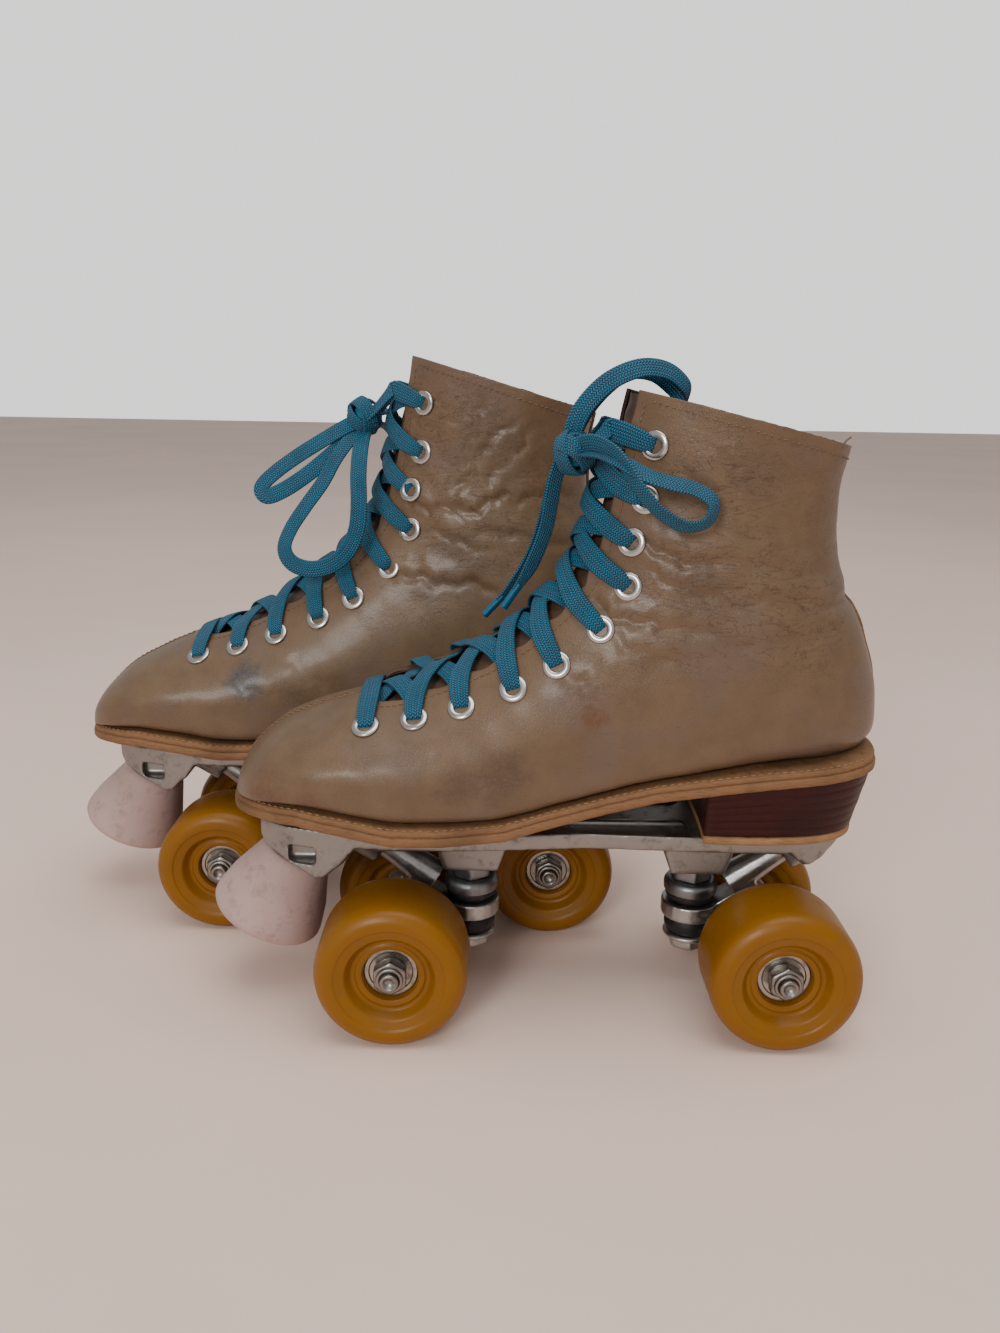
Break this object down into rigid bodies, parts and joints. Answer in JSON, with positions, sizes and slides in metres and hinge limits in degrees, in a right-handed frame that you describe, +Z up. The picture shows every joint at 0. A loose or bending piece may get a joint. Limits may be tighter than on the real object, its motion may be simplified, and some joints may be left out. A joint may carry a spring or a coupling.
{
  "type": "quad roller skates",
  "caption": "Pair of lace-up leather boot roller skates: cast sole plates with toe stops, sprung steering trucks, and urethane wheels turning on ball bearings",
  "frame": {"origin": "on the floor, under the middle of the pair (bows left out)", "axes": "+X towards the heels, +Y from the left skate to the right skate, +Z up"},
  "size_m": [0.3768, 0.2006, 0.2793],
  "materials": {
    "boot_leather": "smooth, worn semi-gloss",
    "tongue_leather": "soft matt",
    "lace_weave": "flat braid",
    "sole_leather": "rough cut edge",
    "heel_leather": "stacked, polished",
    "lift_leather": "rough cut edge",
    "cast_plate": "cast, matt",
    "cast_hanger": "cast, satin",
    "zinc_steel": "plated, worn",
    "cup_steel": "plated, dull",
    "axle_steel": "plated, worn",
    "bearing_steel": "polished",
    "cushion_rubber": "matt",
    "stop_rubber": "scuffed, dusty",
    "wheel_urethane": "glossy faces, matt tread"
  },
  "bodies": {
    "left_chassis": {"left_boot_upper": "boot_leather", "left_tongue": "tongue_leather", "left_lace": "lace_weave", "left_lace_bow": "lace_weave", "left_outsole": "sole_leather", "left_heel_stack": "heel_leather", "left_heel_lift": "lift_leather", "left_sole_plate": "cast_plate", "left_toe_stop_stem": "zinc_steel", "left_toe_stop": "stop_rubber", "left_kingpin_front": "zinc_steel", "left_kingpin_nut_front": "cup_steel", "left_cushion_upper_front": "cushion_rubber", "left_cushion_lower_front": "cushion_rubber", "left_kingpin_rear": "zinc_steel", "left_kingpin_nut_rear": "cup_steel", "left_cushion_upper_rear": "cushion_rubber", "left_cushion_lower_rear": "cushion_rubber"},
    "left_truck_front": {"left_hanger_front": "cast_hanger", "left_axle_front": "axle_steel"},
    "left_wheel_front_outer_body": {"left_wheel_front_outer": "wheel_urethane", "left_bearings_front_outer": "bearing_steel"},
    "left_wheel_front_inner_body": {"left_wheel_front_inner": "wheel_urethane", "left_bearings_front_inner": "bearing_steel"},
    "left_truck_rear": {"left_hanger_rear": "cast_hanger", "left_axle_rear": "axle_steel"},
    "left_wheel_rear_outer_body": {"left_wheel_rear_outer": "wheel_urethane", "left_bearings_rear_outer": "bearing_steel"},
    "left_wheel_rear_inner_body": {"left_wheel_rear_inner": "wheel_urethane", "left_bearings_rear_inner": "bearing_steel"},
    "right_chassis": {"right_boot_upper": "boot_leather", "right_tongue": "tongue_leather", "right_lace": "lace_weave", "right_lace_bow": "lace_weave", "right_outsole": "sole_leather", "right_heel_stack": "heel_leather", "right_heel_lift": "lift_leather", "right_sole_plate": "cast_plate", "right_toe_stop_stem": "zinc_steel", "right_toe_stop": "stop_rubber", "right_kingpin_front": "zinc_steel", "right_kingpin_nut_front": "cup_steel", "right_cushion_upper_front": "cushion_rubber", "right_cushion_lower_front": "cushion_rubber", "right_kingpin_rear": "zinc_steel", "right_kingpin_nut_rear": "cup_steel", "right_cushion_upper_rear": "cushion_rubber", "right_cushion_lower_rear": "cushion_rubber"},
    "right_truck_front": {"right_hanger_front": "cast_hanger", "right_axle_front": "axle_steel"},
    "right_wheel_front_outer_body": {"right_wheel_front_outer": "wheel_urethane", "right_bearings_front_outer": "bearing_steel"},
    "right_wheel_front_inner_body": {"right_wheel_front_inner": "wheel_urethane", "right_bearings_front_inner": "bearing_steel"},
    "right_truck_rear": {"right_hanger_rear": "cast_hanger", "right_axle_rear": "axle_steel"},
    "right_wheel_rear_outer_body": {"right_wheel_rear_outer": "wheel_urethane", "right_bearings_rear_outer": "bearing_steel"},
    "right_wheel_rear_inner_body": {"right_wheel_rear_inner": "wheel_urethane", "right_bearings_rear_inner": "bearing_steel"}
  },
  "joints": [
    {"name": "left_front_steer", "type": "hinge", "parent": "left_chassis", "child": "left_truck_front", "pos_m": [-0.02778, -0.046, 0.07296], "axis": [-0.809, 0, 0.5878], "range_deg": [-5, 5], "stiffness_Nm_per_rad": 20, "deforming": ["left_cushion_upper_front", "left_cushion_lower_front"]},
    {"name": "left_front_outer_spin", "type": "hinge", "parent": "left_truck_front", "child": "left_wheel_front_outer_body", "pos_m": [-0.01388, -0.0818, 0.0315], "axis": [0, 1, 0], "continuous": true},
    {"name": "left_front_inner_spin", "type": "hinge", "parent": "left_truck_front", "child": "left_wheel_front_inner_body", "pos_m": [-0.01388, -0.0102, 0.0315], "axis": [0, 1, 0], "continuous": true},
    {"name": "left_rear_steer", "type": "hinge", "parent": "left_chassis", "child": "left_truck_rear", "pos_m": [0.16122, -0.046, 0.07296], "axis": [0.809, 0, 0.5878], "range_deg": [-5, 5], "stiffness_Nm_per_rad": 20, "deforming": ["left_cushion_upper_rear", "left_cushion_lower_rear"]},
    {"name": "left_rear_outer_spin", "type": "hinge", "parent": "left_truck_rear", "child": "left_wheel_rear_outer_body", "pos_m": [0.14732, -0.0818, 0.0315], "axis": [0, 1, 0], "continuous": true},
    {"name": "left_rear_inner_spin", "type": "hinge", "parent": "left_truck_rear", "child": "left_wheel_rear_inner_body", "pos_m": [0.14732, -0.0102, 0.0315], "axis": [0, 1, 0], "continuous": true},
    {"name": "right_skate_slide", "type": "slide", "parent": "left_chassis", "child": "right_chassis", "axis": [0, 1, 0], "range_m": [0, 0.3]},
    {"name": "right_front_steer", "type": "hinge", "parent": "right_chassis", "child": "right_truck_front", "pos_m": [-0.12028, 0.046, 0.07296], "axis": [-0.809, 0, 0.5878], "range_deg": [-5, 5], "stiffness_Nm_per_rad": 20, "deforming": ["right_cushion_upper_front", "right_cushion_lower_front"]},
    {"name": "right_front_outer_spin", "type": "hinge", "parent": "right_truck_front", "child": "right_wheel_front_outer_body", "pos_m": [-0.10638, 0.0818, 0.0315], "axis": [0, 1, 0], "continuous": true},
    {"name": "right_front_inner_spin", "type": "hinge", "parent": "right_truck_front", "child": "right_wheel_front_inner_body", "pos_m": [-0.10638, 0.0102, 0.0315], "axis": [0, 1, 0], "continuous": true},
    {"name": "right_rear_steer", "type": "hinge", "parent": "right_chassis", "child": "right_truck_rear", "pos_m": [0.06872, 0.046, 0.07296], "axis": [0.809, 0, 0.5878], "range_deg": [-5, 5], "stiffness_Nm_per_rad": 20, "deforming": ["right_cushion_upper_rear", "right_cushion_lower_rear"]},
    {"name": "right_rear_outer_spin", "type": "hinge", "parent": "right_truck_rear", "child": "right_wheel_rear_outer_body", "pos_m": [0.05482, 0.0818, 0.0315], "axis": [0, 1, 0], "continuous": true},
    {"name": "right_rear_inner_spin", "type": "hinge", "parent": "right_truck_rear", "child": "right_wheel_rear_inner_body", "pos_m": [0.05482, 0.0102, 0.0315], "axis": [0, 1, 0], "continuous": true}
  ]
}
